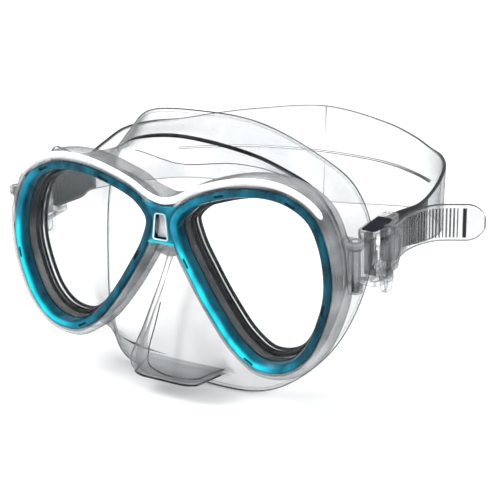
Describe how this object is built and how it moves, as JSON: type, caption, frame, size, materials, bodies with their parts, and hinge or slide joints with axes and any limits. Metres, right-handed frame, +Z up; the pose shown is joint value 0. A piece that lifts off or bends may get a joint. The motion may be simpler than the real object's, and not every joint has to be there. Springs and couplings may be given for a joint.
{
  "type": "diving mask",
  "caption": "Two-window diving mask with a clear frame, teal lens bezel, clear silicone skirt with a nose pocket, and a split strap on swivelling quick-release buckles.",
  "frame": {"origin": "middle of the face seal: on the mid plane, at the depth of the seal's rim at the temples and at the height of the lenses' middle", "axes": "+X to the wearer's left, +Y towards the wearer's head (the lenses face -Y), +Z up"},
  "size_m": [0.2226, 0.1584, 0.1173],
  "materials": {
    "clear_plastic": "clear polished polycarbonate",
    "teal_plastic": "translucent teal, polished",
    "lens_glass": "clear tempered glass",
    "clear_silicone": "crystal-clear silicone, satin inside",
    "smoke_plastic": "dark smoke, glossy",
    "steel": "polished stainless"
  },
  "bodies": {
    "mask": {"frame": "clear_plastic", "bezel": "teal_plastic", "lens_left": "lens_glass", "lens_right": "lens_glass", "skirt": "clear_silicone", "strap": "clear_silicone", "swivel_pin_left": "steel", "swivel_pin_right": "steel"},
    "buckle_left": {"buckle_body_left": "clear_plastic", "roller_pin_left": "steel", "lever_pin_left": "steel", "lever_spring_left": "steel"},
    "roller_left": {"strap_roller_left": "smoke_plastic"},
    "lever_left": {"release_lever_left": "clear_plastic"},
    "buckle_right": {"buckle_body_right": "clear_plastic", "roller_pin_right": "steel", "lever_pin_right": "steel", "lever_spring_right": "steel"},
    "roller_right": {"strap_roller_right": "smoke_plastic"},
    "lever_right": {"release_lever_right": "clear_plastic"}
  },
  "joints": [
    {"name": "buckle_swivel_left", "type": "hinge", "parent": "mask", "child": "buckle_left", "pos_m": [0.0806, -0.0496, 0.0104], "axis": [0.0046, 0.087, -0.9962], "range_deg": [-7, 18], "deforming": ["strap"]},
    {"name": "roller_spin_left", "type": "hinge", "parent": "buckle_left", "child": "roller_left", "pos_m": [0.08214, -0.02015, 0.01298], "axis": [0.0046, 0.087, -0.9962], "continuous": true},
    {"name": "lever_release_left", "type": "hinge", "parent": "buckle_left", "child": "lever_left", "pos_m": [0.08711, -0.03248, 0.01192], "axis": [0.0046, 0.087, -0.9962], "range_deg": [0, 10], "stiffness_Nm_per_rad": 0.02, "springref_deg": -17.19, "deforming": ["lever_spring_left"]},
    {"name": "buckle_swivel_right", "type": "hinge", "parent": "mask", "child": "buckle_right", "pos_m": [-0.0806, -0.0496, 0.0104], "axis": [0.0046, -0.087, 0.9962], "range_deg": [-7, 18], "deforming": ["strap"]},
    {"name": "roller_spin_right", "type": "hinge", "parent": "buckle_right", "child": "roller_right", "pos_m": [-0.08214, -0.02015, 0.01298], "axis": [0.0046, -0.087, 0.9962], "continuous": true},
    {"name": "lever_release_right", "type": "hinge", "parent": "buckle_right", "child": "lever_right", "pos_m": [-0.08711, -0.03248, 0.01192], "axis": [0.0046, -0.087, 0.9962], "range_deg": [0, 10], "stiffness_Nm_per_rad": 0.02, "springref_deg": -17.19, "deforming": ["lever_spring_right"]}
  ]
}
